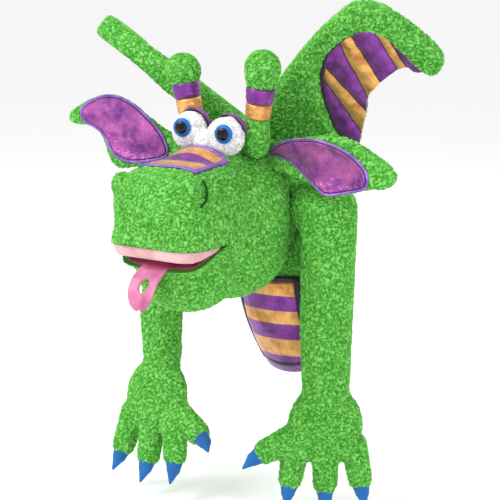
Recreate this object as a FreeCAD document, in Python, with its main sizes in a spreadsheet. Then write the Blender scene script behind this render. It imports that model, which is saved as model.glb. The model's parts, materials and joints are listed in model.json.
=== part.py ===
import FreeCAD, Part
import os
import Sketcher

# A soft dragon hand puppet with a moving mouth. The frame: the puppet looks along -Y, its
# left side is +X and +Z is up. The origin is the centre of the hand opening at the sleeve's hem.
# Places on the head are given from the head's centre, which the sheet holds as head_y and head_z.

doc = FreeCAD.newDocument("dragon_puppet")
sheet = doc.addObject("Spreadsheet::Sheet", "Sizes")

SIZES = [
    # cloth, board and clearances
    ("fleece_wall", 3), ("lining_wall", 1.2), ("satin_wall", 1.2), ("board_wall", 2),
    ("layer_gap", 0.3), ("moving_gap", 0.6), ("binding_wall", 2.2), ("pocket_wall", 1),
    # head, from its centre
    ("head_y", -126), ("head_z", 122),
    ("skull_radius", 54), ("skull_ahead", 8), ("skull_top", 22), ("skull_low", -10),
    ("muzzle_radius", 51), ("muzzle_start", 20), ("muzzle_end", 72), ("muzzle_up", 11),
    ("brow_radius", 42), ("brow_ahead", 50), ("brow_up", 33),
    # mouth and jaw
    ("mouth_level", -6), ("hinge_ahead", 68), ("throat_ahead", 66), ("mouth_open", 30),
    ("throat_lean", 25), ("jaw_radius", 46), ("jaw_ahead", 70), ("jaw_drop", 21),
    ("board_setback", 4),
    # pockets for the hand
    ("fingers_wide", 74), ("fingers_high", 24), ("fingers_deep", 60), ("fingers_tip_ahead", 88),
    ("thumb_wide", 30), ("thumb_high", 14), ("thumb_tip_deep", 36), ("thumb_start", 14),
    ("palm_room_wide", 84), ("palm_room_low", 34), ("palm_room_high", 30),
    # tongue
    ("tongue_wide", 30), ("tongue_wall", 2.2), ("tongue_start", 24), ("tongue_inside", 31),
    ("tongue_outside", 34), ("tongue_droop", 18), ("tongue_slot_wide", 9),
    # eyes, lids, nose
    ("eye_out", 20), ("eye_ahead", 36), ("eye_up", 90), ("lobe_radius", 17),
    ("iris_radius", 7.5), ("iris_wall", 2),
    ("iris_out", 23), ("iris_up", 94), ("pupil_radius", 5), ("pupil_wall", 1.2),
    ("eye_post_radius", 2), ("washer_radius", 8), ("washer_wall", 1.5),
    ("lid_wall", 2), ("eye_depth", 6),
    ("nose_half_wide", 30), ("nose_front", 92), ("nose_back", 54), ("nose_edge", 4),
    ("nostril_out", 34), ("nostril_ahead", 104), ("nostril_up", 44), ("nostril_radius", 12),
    # ears
    ("ear_out", 44), ("ear_back", 4), ("ear_up", 65), ("ear_long", 136), ("ear_wide", 44),
    ("ear_root", 24), ("ear_wall", 6), ("ear_edge", 6), ("left_ear_yaw", -4),
    ("left_ear_pitch", -1), ("right_ear_yaw", 24), ("right_ear_pitch", 15),
    # horns
    ("horn_out", 34), ("horn_ahead", 14), ("horn_up", 78), ("horn_radius", 10),
    ("horn_stalk", 22), ("horn_band", 14), ("horn_band_radius", 11), ("horn_tip_radius", 16.5),
    ("horn_splay", 10), ("horn_back_lean", 4),
    # neck and torso
    ("neck_radius", 34), ("neck_long", 26), ("neck_back", 50), ("torso_end_run", 6),
    ("belly_half_wide", 32), ("belly_top", 66), ("belly_edge", 4), ("hem_band", 12),
    ("hem_lean", 40), ("ridge_half_wide", 8), ("ridge_half_long", 20), ("ridge_half_high", 26),
    ("ridge_y", -32), ("ridge_z", 172),
    # arms and hands
    ("shoulder_out", 80), ("shoulder_y", -92), ("shoulder_z", 140), ("shoulder_radius", 23),
    ("elbow_radius", 23), ("upper_arm", 108), ("forearm", 54), ("wrist_radius", 22),
    ("left_swing", 2), ("right_swing", 24), ("hand_ball", 18), ("palm_half_wide", 33),
    ("palm_half_thick", 17), ("palm_half_long", 37), ("palm_down", 35), ("finger_radius", 11.5),
    ("finger_down", 52), ("finger_long", 30), ("finger_apart", 24), ("finger_fan", 8),
    ("thumb_out", 16), ("thumb_down", 40), ("thumb_long", 38), ("thumb_fan", 62),
    ("claw_radius", 6.5), ("claw_tip_radius", 1.2), ("claw_long", 22), ("claw_seat", 6),
    ("left_hand_yaw", 38), ("right_hand_yaw", 0),
    # wings
    ("wing_out", 32), ("wing_y", -48), ("wing_z", 185), ("wing_root_radius", 14),
    ("wing_elbow_radius", 15), ("wing_tip_radius", 9), ("wing_bar", 164), ("wing_beam", 82),
    ("wing_drop", 8), ("left_wing_yaw", 29), ("left_wing_pitch", 18), ("left_wing_roll", 37),
    ("right_wing_yaw", -42), ("right_wing_pitch", -2), ("right_wing_roll", 52),
]
# The torso is lofted from hem to shoulders: y, z, forward lean, half width, half depth.
TORSO = [
    (0, 0, 40, 54, 44), (-29, 38, 33, 55, 44), (-46, 87, 12, 56, 38),
    (-46, 132, 0, 56, 34), (-46, 160, 0, 42, 25), (-46, 172, 0, 22, 12),
]
# The wing's cloth, in the wing's own plane: out from the bar, up from its root.
WEB = [(0, 34), (34, 38), (38, 62), (50, 88), (58, 112), (74, 132), (76, 146), (0, 160)]

rows = list(SIZES)
for index, section in enumerate(TORSO):
    for word, value in zip(("y", "z", "lean", "wide", "deep"), section):
        rows.append((f"torso_{word}_{index}", value))
for index, (out, up) in enumerate(WEB):
    rows.append((f"web_out_{index}", out))
    rows.append((f"web_up_{index}", up))
for number, (alias, value) in enumerate(rows, start=1):
    sheet.set(f"A{number}", alias)
    sheet.set(f"B{number}", str(value))
    sheet.setAlias(f"B{number}", alias)
doc.recompute()

nodes = []


def named(text):
    """Puts the sheet's name in front of each alias in an expression."""
    aliases = {alias for alias, _ in rows}
    out = ""
    word = ""
    for character in text + " ":
        if character.isalnum() or character == "_":
            word += character
            continue
        out += f"Sizes.{word}" if word in aliases else word
        word = ""
        out += character
    return out.strip()


def at(x=0, y=0, z=0, yaw=0, pitch=0, roll=0):
    """A placement expression: a point, and turns about Z, Y and X."""
    point = "; ".join(named(str(part)) for part in (x, y, z))
    turn = "; ".join(named(str(part)) for part in (yaw, pitch, roll))
    return f"placement(vector({point}); rotation({turn}))"


def on_head(x=0, y=0, z=0, **turns):
    """A placement counted from the head's centre."""
    return at(x, f"head_y + ({y})", f"head_z + ({z})", **turns)


def make(kind, label, where=None, **sizes):
    """One primitive whose sizes and place are bound to the sheet."""
    item = doc.addObject(kind, label)
    item.Label = label
    for name, text in sizes.items():
        item.setExpression(name, named(str(text)))
    if where:
        item.setExpression("Placement", where)
    return item


def box(label, where, long, wide, high):
    return make("Part::Box", label, where, Length=long, Width=wide, Height=high)


def rod(label, where, radius, long):
    return make("Part::Cylinder", label, where, Radius=radius, Height=long)


def cone(label, where, low, top, long):
    return make("Part::Cone", label, where, Radius1=low, Radius2=top, Height=long)


def ball(label, where, x, y, z):
    item = make("Part::Ellipsoid", label, where, Radius1=z, Radius2=x, Radius3=y)
    item.Angle1, item.Angle2, item.Angle3 = -90, 90, 360
    return item


def sphere(label, where, radius):
    return make("Part::Sphere", label, where, Radius=radius)


def fuse(label, *shapes, where=None):
    item = doc.addObject("Part::MultiFuse", label)
    item.Label = label
    item.Shapes = list(shapes)
    if where:
        item.setExpression("Placement", where)
    return item


def cut(label, base, *tools, where=None):
    for index, tool in enumerate(tools):
        last = index == len(tools) - 1
        name = label if last else f"{label}_cut_{index}"
        item = doc.addObject("Part::Cut", name)
        item.Label = name
        item.Base = base
        item.Tool = tool
        base = item
    if where:
        base.setExpression("Placement", where)
    return base


def common(label, *shapes, where=None):
    item = doc.addObject("Part::MultiCommon", label)
    item.Label = label
    item.Shapes = list(shapes)
    if where:
        item.setExpression("Placement", where)
    return item


def node(item):
    """Marks a finished sub-part."""
    nodes.append(item)
    return item


def head_form(label, grow):
    """The closed head: a tall skull, a brow and a muzzle, grown outwards by a thickness."""
    skull, muzzle = f"skull_radius + {grow}", f"muzzle_radius + {grow}"
    return fuse(
        label,
        sphere(f"{label}_crown", on_head(0, "-skull_ahead", "skull_top"), skull),
        rod(f"{label}_cheeks", on_head(0, "-skull_ahead", "skull_low"), skull, "skull_top - skull_low"),
        sphere(f"{label}_base", on_head(0, "-skull_ahead", "skull_low"), skull),
        rod(f"{label}_muzzle", on_head(0, "-muzzle_start", "muzzle_up", roll=90), muzzle,
            "muzzle_end - muzzle_start"),
        sphere(f"{label}_snout", on_head(0, "-muzzle_end", "muzzle_up"), muzzle),
        sphere(f"{label}_brow", on_head(0, "-brow_ahead", "brow_up"), f"brow_radius + {grow}"))


def torso_form(label, grow, run=0):
    """The sleeve and shoulders as a loft of ovals; run carries it past the hem."""
    ovals = []
    last = len(TORSO) - 1
    for index in range(len(TORSO)):
        y, z, lean = (f"torso_{word}_{index}" for word in ("y", "z", "lean"))
        if index == 0:
            y, z = f"{y} + {run} * sin({lean})", f"{z} - {run} * cos({lean})"
        if index == last:
            z = f"{z} + {grow}"
        oval = make("Part::Ellipse", f"{label}_oval_{index}", at(0, y, z, 0, 0, lean),
                    MajorRadius=f"torso_wide_{index} + {grow}",
                    MinorRadius=f"torso_deep_{index} + {grow}")
        ovals.append(oval)
    loft = doc.addObject("Part::Loft", label)
    loft.Label = label
    loft.Sections = ovals
    loft.Solid = True
    loft.Ruled = False
    return loft


# ---- shared forms ---------------------------------------------------------------------------
BIG = 400
INNER = "(0 - fleece_wall)"
FILLING = "(0 - fleece_wall - layer_gap)"
head_outer = head_form("head_outer", 0)
head_inner = head_form("head_inner", INNER)
head_filling_form = head_form("head_filling_form", FILLING)
head_clear = head_form("head_clear", "layer_gap")

# Everything under the palate and ahead of the throat is cut away for the mouth.
mouth_cut = box("mouth_cut", on_head(-BIG / 2, f"-throat_ahead - {BIG}", f"mouth_level - {BIG}"),
                BIG, BIG, BIG)
neck_hole = rod("neck_hole", on_head(0, "neck_back - neck_long", 0, roll=-90),
                "neck_radius + moving_gap", "neck_long * 2")

# ---- head -----------------------------------------------------------------------------------
node(cut("head_cover", head_outer, head_inner, mouth_cut, neck_hole))

PALATE_TOP = "mouth_level + satin_wall"
BOARD_TOP = "mouth_level + satin_wall + board_wall"
plate_reach = "(muzzle_end + muzzle_radius)"


def mouth_plate(label, low, thick):
    """A flat plate over the mouth that fills the head's inside as far as its cover."""
    slab = box(f"{label}_slab", on_head(-BIG / 2, f"-throat_ahead - board_setback - {plate_reach}", low),
               BIG, plate_reach, thick)
    return node(common(label, slab, head_filling_form))


mouth_plate("upper_palate", "mouth_level", "satin_wall")
mouth_plate("upper_mouth_board", PALATE_TOP, "board_wall")

pocket_outer = box("finger_pocket_outer",
                   on_head("-fingers_wide / 2 - pocket_wall", "-fingers_tip_ahead - pocket_wall", BOARD_TOP),
                   "fingers_wide + 2 * pocket_wall", "fingers_deep + pocket_wall",
                   "fingers_high + 2 * pocket_wall")
pocket_room = box("finger_pocket_room",
                  on_head("-fingers_wide / 2", "-fingers_tip_ahead", f"{BOARD_TOP} + pocket_wall"),
                  "fingers_wide", "fingers_deep + 1", "fingers_high")
node(cut("finger_pocket", pocket_outer, pocket_room))

pocket_clear = box("pocket_clear",
                   on_head("-fingers_wide / 2 - pocket_wall - layer_gap",
                           "-fingers_tip_ahead - pocket_wall - layer_gap", f"mouth_level - {BIG}"),
                   "fingers_wide + 2 * pocket_wall + 2 * layer_gap",
                   "fingers_deep + pocket_wall + 2 * layer_gap",
                   f"{BIG} + satin_wall + board_wall + fingers_high + 2 * pocket_wall + layer_gap")
under_board = box("under_board",
                  on_head(-BIG / 2, f"-throat_ahead - {BIG}", f"{BOARD_TOP} + layer_gap - {BIG}"),
                  BIG, BIG, BIG)
palm_room = box("palm_room", on_head("-palm_room_wide / 2", f"-throat_ahead - 1", "-palm_room_low"),
                "palm_room_wide", "throat_ahead + skull_radius + 1",
                "palm_room_low + palm_room_high")
node(cut("head_stuffing", head_filling_form, under_board, palm_room, pocket_clear, neck_hole))

# ---- throat gusset: the loose cloth between the cheeks and the jaw ------------------------------
hinge_z = "mouth_level"
behind_throat = box("behind_throat", on_head(-BIG / 2, "-throat_ahead - layer_gap", -BIG / 2),
                    BIG, BIG, BIG)
over_throat = box("over_throat", on_head(-BIG / 2, -BIG, "mouth_level - layer_gap - 4"), BIG, 2 * BIG, BIG)
jaw_front_clear = box("jaw_front_clear",
                      on_head(-BIG / 2, "-hinge_ahead", hinge_z, roll="-throat_lean"),
                      BIG, BIG, BIG)
jaw_front_clear.setExpression("Placement", named(
    f"placement(vector(-{BIG} / 2; head_y - hinge_ahead + layer_gap; head_z + mouth_level);"
    f" rotation(0; 0; -throat_lean)) * placement(vector(0; -{BIG}; -{BIG}); rotation(0; 0; 0))"))
node(cut("throat_gusset", head_outer, head_inner, behind_throat, over_throat, jaw_front_clear))

# ---- jaw ----------------------------------------------------------------------------------------


def jaw_form(label, grow):
    return sphere(label, on_head(0, "-jaw_ahead", "-jaw_drop"), f"jaw_radius + {grow}")


def jaw_box(label, low, thick, start=0, long=BIG, wide=BIG):
    """A box in the jaw's own plane: low and thick count from the mouth's face, start from the hinge."""
    item = box(label, None, wide, long, thick)
    item.setExpression("Placement", named(
        f"placement(vector(0; head_y - hinge_ahead; head_z + mouth_level); rotation(0; 0; mouth_open))"
        f" * placement(vector(-({wide}) / 2; -({start}) - ({long}); {low}); rotation(0; 0; 0))"))
    return item


def throat_box(label, back):
    """All that lies behind the jaw's sloping back, moved forward by a distance."""
    item = box(label, None, BIG, BIG, 2 * BIG)
    item.setExpression("Placement", named(
        f"placement(vector(0; head_y - hinge_ahead; head_z + mouth_level); rotation(0; 0; -throat_lean))"
        f" * placement(vector(-{BIG} / 2; -({back}); -{BIG}); rotation(0; 0; 0))"))
    return item


jaw_outer = jaw_form("jaw_outer", 0)
jaw_inner = jaw_form("jaw_inner", INNER)
jaw_filling_form = jaw_form("jaw_filling_form", FILLING)
over_jaw = jaw_box("over_jaw", 0, BIG, -BIG / 2)
behind_jaw = throat_box("behind_jaw", "board_setback")
node(cut("jaw_cover", jaw_outer, jaw_inner, over_jaw, behind_jaw))

palate_slab = jaw_box("lower_palate_slab", "-satin_wall", "satin_wall", "board_setback")
node(common("lower_palate", palate_slab, jaw_filling_form))
board_slab = jaw_box("lower_board_slab", "-satin_wall - board_wall", "board_wall", "board_setback + 1")
lower_board_form = common("lower_board_form", board_slab, jaw_filling_form)
node(cut("lower_mouth_board", lower_board_form, behind_jaw))

THUMB_TOP = "satin_wall + board_wall"
thumb_outer = jaw_box("thumb_pocket_outer", f"-({THUMB_TOP}) - thumb_high - 2 * pocket_wall",
                      "thumb_high + 2 * pocket_wall", "thumb_start",
                      "thumb_tip_deep - thumb_start + pocket_wall", "thumb_wide + 2 * pocket_wall")
thumb_room = jaw_box("thumb_pocket_room", f"-({THUMB_TOP}) - thumb_high - pocket_wall", "thumb_high",
                     "thumb_start - 30", "thumb_tip_deep - thumb_start + 30", "thumb_wide")
node(cut("thumb_pocket", thumb_outer, thumb_room, behind_jaw))
thumb_clear = jaw_box("thumb_clear", f"-({THUMB_TOP}) - thumb_high - 2 * pocket_wall - layer_gap",
                      "thumb_high + 2 * pocket_wall + layer_gap + 10", -20,
                      "thumb_tip_deep + pocket_wall + layer_gap + 20",
                      "thumb_wide + 2 * pocket_wall + 2 * layer_gap")
board_clear = jaw_box("board_clear", f"-({THUMB_TOP}) - layer_gap", BIG, -BIG / 2)
node(cut("jaw_stuffing", jaw_filling_form, board_clear, thumb_clear, behind_jaw))

# ---- tongue: a flat tail on the lower palate that droops over the lip ---------------------------


def tongue_part(label, start, long, where):
    item = box(label, None, "tongue_wide", long, "tongue_wall")
    item.setExpression("Placement", named(
        f"placement(vector(0; head_y - hinge_ahead; head_z + mouth_level); rotation(0; 0; mouth_open))"
        f" * placement(vector(0; -({start}); 2 * layer_gap); rotation(0; 0; {where}))"
        f" * placement(vector(-tongue_wide / 2; -({long}); 0); rotation(0; 0; 0))"))
    return item


def tongue_rod(label, along, radius):
    """A round of the tongue's outline, or its slot's, across the drooping stretch."""
    item = rod(label, None, radius, "tongue_wall + 2 * satin_wall")
    item.setExpression("Placement", named(
        f"placement(vector(0; head_y - hinge_ahead; head_z + mouth_level); rotation(0; 0; mouth_open))"
        f" * placement(vector(0; -tongue_start - tongue_inside; 2 * layer_gap);"
        f" rotation(0; 0; tongue_droop)) * placement(vector(0; -({along}); -satin_wall); rotation(0; 0; 0))"))
    return item


tongue_inner = tongue_part("tongue_inner", "tongue_start", "tongue_inside + 1", 0)
tongue_outer = tongue_part("tongue_outer", "tongue_start + tongue_inside",
                           "tongue_outside - tongue_wide / 2", "tongue_droop")
tongue_end = tongue_rod("tongue_end", "tongue_outside - tongue_wide / 2", "tongue_wide / 2")
tongue_skin = tongue_part("tongue_skin", "tongue_start + tongue_inside", "tongue_outside + 5", "tongue_droop")
tongue_tip = common("tongue_tip", tongue_end, tongue_skin)
tongue_slot = tongue_rod("tongue_slot", "tongue_outside - tongue_wide / 2", "tongue_slot_wide / 2")
tongue_blank = fuse("tongue_blank", tongue_inner, tongue_outer, tongue_tip)
node(cut("tongue", tongue_blank, tongue_slot))

# ---- eyes and lid trim --------------------------------------------------------------------------


def eye_lobes(label, grow):
    lobes = []
    for side, sign in (("left", ""), ("right", "-")):
        lobes.append(sphere(f"{label}_{side}", on_head(f"{sign}eye_out", "-eye_ahead", "eye_up"),
                            f"lobe_radius + {grow}"))
    return fuse(label, *lobes)


EYE_FACE = "-eye_ahead - lobe_radius"
lobes = eye_lobes("eye_lobes", 0)
lobes_clear = eye_lobes("eye_lobes_clear", "layer_gap")
eye_rooms = []
washers = []
pupils = []
for side, sign in (("left", ""), ("right", "-")):
    x = f"{sign}iris_out"
    room = rod(f"{side}_washer_room", on_head(x, "-eye_ahead + washer_wall + layer_gap", "iris_up", roll=90),
               "washer_radius + layer_gap", "washer_wall + 2 * layer_gap")
    hole = rod(f"{side}_post_hole", on_head(x, "-eye_ahead", "iris_up", roll=90),
               "eye_post_radius + layer_gap", "lobe_radius + 5")
    eye_rooms += [room, hole]
    disc = rod(f"{side}_iris_disc", on_head(x, f"{EYE_FACE} - layer_gap", "iris_up", roll=90),
               "iris_radius", "iris_wall")
    post = rod(f"{side}_eye_post", on_head(x, "-eye_ahead + washer_wall", "iris_up", roll=90),
               "eye_post_radius", "lobe_radius + washer_wall + 1")
    node(fuse(f"eye_iris_{side}", disc, post))
    pupils.append(rod(f"{side}_pupil", on_head(x, f"{EYE_FACE} - layer_gap - iris_wall", "iris_up", roll=90),
                      "pupil_radius", "pupil_wall"))
    plate = rod(f"{side}_washer_plate", on_head(x, "-eye_ahead + washer_wall", "iris_up", roll=90),
                "washer_radius", "washer_wall")
    bore = rod(f"{side}_washer_bore", on_head(x, "-eye_ahead + washer_wall + 1", "iris_up", roll=90),
               "eye_post_radius", "washer_wall + 2")
    washers.append(cut(f"{side}_washer", plate, bore))
eye_back = box("eye_back", on_head(-BIG / 2, "-eye_ahead + eye_depth", -BIG / 2), BIG, BIG, BIG)
node(cut("eye_whites", lobes, head_clear, eye_back, *eye_rooms))
node(fuse("eye_pupils", *pupils))
node(fuse("eye_washers", *washers))

lid_form = eye_lobes("lid_form", "layer_gap + lid_wall")
lid_band = box("lid_band", on_head(-BIG / 2, "-eye_ahead", "eye_up + 4"), BIG, "eye_depth", BIG)
lid_shell = cut("lid_shell", lid_form, lobes_clear, head_clear)
node(common("eyelid_trim", lid_shell, lid_band))

# ---- nose patch and nostrils --------------------------------------------------------------------


def nose_block(label, edge):
    return box(label, on_head(f"-nose_half_wide - ({edge})", f"-nose_front - ({edge})", "muzzle_up + 15"),
               f"2 * (nose_half_wide + ({edge}))", f"nose_front - nose_back + 2 * ({edge})", BIG)


patch_form = head_form("patch_form", "layer_gap + satin_wall")
binding_form = head_form("head_binding_form", "layer_gap + binding_wall")
patch_shell = cut("patch_shell", patch_form, head_clear)
nose_patch = node(common("nose_patch", patch_shell, nose_block("nose_block", 0)))
binding_shell = cut("binding_shell", binding_form, head_clear)
nose_ring = common("nose_ring", binding_shell, nose_block("nose_ring_block", "nose_edge"))
node(cut("nose_patch_binding", nose_ring, nose_block("nose_ring_room", "layer_gap"), lobes_clear))

for side, sign in (("left", ""), ("right", "-")):
    bump = sphere(f"nostril_ball_{side}", on_head(f"{sign}nostril_out", "-nostril_ahead", "nostril_up"),
                  "nostril_radius")
    edge_clear = nose_block(f"nostril_edge_{side}", "nose_edge + layer_gap")
    node(cut(f"nostril_{side}", bump, head_clear, edge_clear))

# ---- ears ---------------------------------------------------------------------------------------


def leaf(label, long, wide, front, thick, first, sign):
    """A leaf outline from two crossing arcs, cut off square at its root."""
    bow = f"((({long}) / 2) * (({long}) / 2) + (({wide}) / 2) * (({wide}) / 2)) / ({wide})"
    discs = []
    for word, way in (("up", "-"), ("down", "")):
        discs.append(rod(f"{label}_{word}",
                         at(f"{sign}(({long}) / 2 + ({first}))", f"({front}) + ({thick})",
                            f"{way}({bow} - ({wide}) / 2)", roll=90),
                         bow, thick))
    return common(label, *discs)


for side, sign in (("left", ""), ("right", "-")):
    yaw, pitch = f"{side}_ear_yaw", f"{side}_ear_pitch"
    spot = on_head(f"{sign}ear_out", "ear_back", "ear_up", yaw=yaw, pitch=pitch)
    back = leaf(f"ear_leaf_{side}", "ear_long + ear_root", "ear_wide", "-ear_wall / 2", "ear_wall",
                "-ear_root", sign)
    front = leaf(f"ear_lining_leaf_{side}", "ear_long + ear_root - 2 * ear_edge",
                 "ear_wide - 2 * ear_edge", "-ear_wall / 2 - layer_gap - satin_wall", "satin_wall",
                 "ear_edge - ear_root", sign)
    root_cut = box(f"ear_root_cut_{side}", at(f"{sign}{BIG} - {BIG} / 2 - {sign}{BIG} * 1.5", -BIG / 2, -BIG / 2),
                   BIG, BIG, BIG)
    root_cut.setExpression("Placement", named(
        f"placement(vector({sign}({BIG} / 2) * -1 - {BIG} / 2; -{BIG} / 2; -{BIG} / 2); rotation(0; 0; 0))"))
    node(cut(f"ear_back_{side}", back, root_cut, where=spot))
    node(cut(f"ear_lining_{side}", front, root_cut, where=spot))

# ---- horns --------------------------------------------------------------------------------------
for side, sign in (("left", ""), ("right", "-")):
    spot = on_head(f"{sign}horn_out", "-horn_ahead", "horn_up", pitch=f"{sign}horn_splay",
                   roll="-horn_back_lean")
    root = sphere(f"horn_root_{side}", at(), "horn_radius")
    stem = rod(f"horn_stem_{side}", at(), "horn_radius", "horn_stalk")
    node(fuse(f"horn_stalk_{side}", root, stem, where=spot))
    for index, colour in enumerate(("gold", "purple")):
        above = at(0, 0, f"horn_stalk + {index} * horn_band")
        node(rod(f"horn_{colour}_band_{side}", f"{spot} * {above}", "horn_band_radius", "horn_band"))
    knob = sphere(f"horn_knob_{side}", at(0, 0, "horn_stalk + 2 * horn_band + horn_tip_radius * 0.9"),
                  "horn_tip_radius")
    flat = box(f"horn_flat_{side}", at(-BIG / 2, -BIG / 2, f"horn_stalk + 2 * horn_band - {BIG}"),
               BIG, BIG, BIG)
    node(cut(f"horn_tip_{side}", knob, flat, where=spot))

# ---- torso --------------------------------------------------------------------------------------
LINED = "(0 - fleece_wall - layer_gap)"
HOLLOW = "(0 - fleece_wall - layer_gap - lining_wall)"
torso_outer = torso_form("torso_outer", 0)
torso_inner = torso_form("torso_inner", INNER, "torso_end_run")
torso_clear = torso_form("torso_clear", "layer_gap")
lining_outer = torso_form("lining_outer", LINED)
lining_inner = torso_form("lining_inner", HOLLOW, "torso_end_run")
node(cut("body_cover", torso_outer, torso_inner, neck_hole))
node(cut("body_lining", lining_outer, lining_inner, neck_hole))

neck_tube = rod("neck_tube", on_head(0, "neck_back - neck_long / 2", 0, roll=-90), "neck_radius", "neck_long")
neck_bore = rod("neck_bore", on_head(0, "neck_back - neck_long / 2 - 1", 0, roll=-90),
                "neck_radius - fleece_wall", "neck_long + 2")
node(cut("neck_cover", neck_tube, neck_bore))

hem_slab = box("hem_slab", None, BIG, BIG, "hem_band")
hem_slab.setExpression("Placement", named(
    f"placement(vector(0; 0; 0); rotation(0; 0; hem_lean))"
    f" * placement(vector(-{BIG} / 2; -{BIG} / 2; 0); rotation(0; 0; 0))"))
hem_form = torso_form("hem_form", "layer_gap + binding_wall")
node(common("sleeve_hem", cut("hem_shell", hem_form, torso_clear), hem_slab))

hem_clear = box("hem_clear", None, BIG, BIG, f"hem_band + layer_gap + {BIG}")
hem_clear.setExpression("Placement", named(
    f"placement(vector(0; 0; 0); rotation(0; 0; hem_lean))"
    f" * placement(vector(-{BIG} / 2; -{BIG} / 2; -{BIG}); rotation(0; 0; 0))"))


def belly_block(label, edge):
    return box(label, at(f"-belly_half_wide - ({edge})", f"-{BIG}", f"-{BIG} / 2"),
               f"2 * (belly_half_wide + ({edge}))", f"{BIG} - 8", f"{BIG} / 2 + belly_top + ({edge})")


belly_form = torso_form("belly_form", "layer_gap + satin_wall")
belly_shell = cut("belly_shell", belly_form, torso_clear, hem_clear)
node(common("belly_panel", belly_shell, belly_block("belly_block", 0)))
belly_edge_shell = cut("belly_edge_shell", hem_form, torso_clear, hem_clear)
belly_ring = common("belly_ring", belly_edge_shell, belly_block("belly_ring_block", "belly_edge"))
node(cut("belly_binding", belly_ring, belly_block("belly_ring_room", "layer_gap")))

ridge_form = ball("ridge_form", at(0, "ridge_y", "ridge_z"), "ridge_half_wide", "ridge_half_long",
                  "ridge_half_high")
node(cut("back_ridge", ridge_form, torso_clear))

# ---- arms and hands -----------------------------------------------------------------------------


def limb(label, side, sign, grow):
    """Shoulder ball, upper arm, elbow ball and forearm, from the swing at the shoulder."""
    x = f"{sign}shoulder_out"
    swing = f"{side}_swing"
    elbow_y = f"shoulder_y - upper_arm * sin({swing})"
    elbow_z = f"shoulder_z - upper_arm * cos({swing})"
    top, mid, low = (f"{word}_radius + {grow}" for word in ("shoulder", "elbow", "wrist"))
    return fuse(
        label,
        sphere(f"{label}_shoulder", at(x, "shoulder_y", "shoulder_z"), top),
        cone(f"{label}_upper", at(x, elbow_y, elbow_z, roll=f"-{swing}"), mid, top, "upper_arm"),
        sphere(f"{label}_elbow", at(x, elbow_y, elbow_z), mid),
        cone(f"{label}_fore", at(x, elbow_y, f"{elbow_z} - forearm"), low, mid, "forearm"))


def hand_form(label, sign, grow):
    """Wrist ball, palm, three fingers and a thumb, in the hand's own frame below the wrist."""
    parts = [
        sphere(f"{label}_wrist", at(), f"hand_ball + {grow}"),
        ball(f"{label}_palm", at(0, 0, "-palm_down"), f"palm_half_wide + {grow}",
             f"palm_half_thick + {grow}", f"palm_half_long + {grow}")]
    for name, where in digits(sign):
        radius = f"finger_radius + {grow}"
        long = "thumb_long" if name == "thumb" else "finger_long"
        parts.append(rod(f"{label}_{name}", where, radius, long))
        tip = sphere(f"{label}_{name}_tip", None, radius)
        tip.setExpression("Placement", f"{where} * placement(vector(0; 0; {named(long)}); rotation(0; 0; 0))")
        parts.append(tip)
    return parts


def digits(sign):
    """Each digit's name and the place and turn of its root."""
    found = [("thumb", at(f"-({sign}thumb_out)", 0, "-thumb_down", pitch=f"180 + {sign}thumb_fan"))]
    for index, step in enumerate((-1, 0, 1)):
        found.append((f"finger_{index + 1}",
                      at(f"{sign}({step} * finger_apart)", 0, "-finger_down",
                         pitch=f"180 - {sign}({step} * finger_fan)")))
    return found


for side, sign in (("left", "1 * "), ("right", "-1 * ")):
    swing = f"{side}_swing"
    wrist = (f"{sign}shoulder_out", f"shoulder_y - upper_arm * sin({swing})",
             f"shoulder_z - upper_arm * cos({swing}) - forearm")
    socket = sphere(f"wrist_socket_{side}", at(*wrist), "hand_ball + moving_gap")
    arm_outer = limb(f"arm_outer_{side}", side, sign, 0)
    arm_inner = limb(f"arm_inner_{side}", side, sign, INNER)
    node(cut(f"arm_cover_{side}", arm_outer, arm_inner, socket))
    node(cut(f"arm_stuffing_{side}", limb(f"arm_filling_{side}", side, sign, FILLING), socket))
    spot = at(*wrist, yaw=f"{side}_hand_yaw")
    hand_outer = fuse(f"hand_outer_{side}", *hand_form(f"hand_outer_form_{side}", sign, 0))
    hand_inner = fuse(f"hand_inner_{side}", *hand_form(f"hand_inner_form_{side}", sign, INNER))
    node(cut(f"hand_cover_{side}", hand_outer, hand_inner, where=spot))
    node(fuse(f"hand_stuffing_{side}", *hand_form(f"hand_filling_{side}", sign, FILLING), where=spot))
    claws = []
    for name, where in digits(sign):
        long = "thumb_long" if name == "thumb" else "finger_long"
        nail = cone(f"claw_{name}_{side}", None, "claw_radius", "claw_tip_radius", "claw_long")
        nail.setExpression("Placement", f"{where} * " + named(
            f"placement(vector(0; 0; {long} + finger_radius - claw_seat); rotation(0; 0; 0))"))
        pad = sphere(f"claw_pad_{name}_{side}", None, "finger_radius + layer_gap")
        pad.setExpression("Placement", f"{where} * placement(vector(0; 0; {named(long)}); rotation(0; 0; 0))")
        claws.append(cut(f"claw_cut_{name}_{side}", nail, pad))
    node(fuse(f"claws_{side}", *claws, where=spot))

# ---- wings --------------------------------------------------------------------------------------


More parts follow.
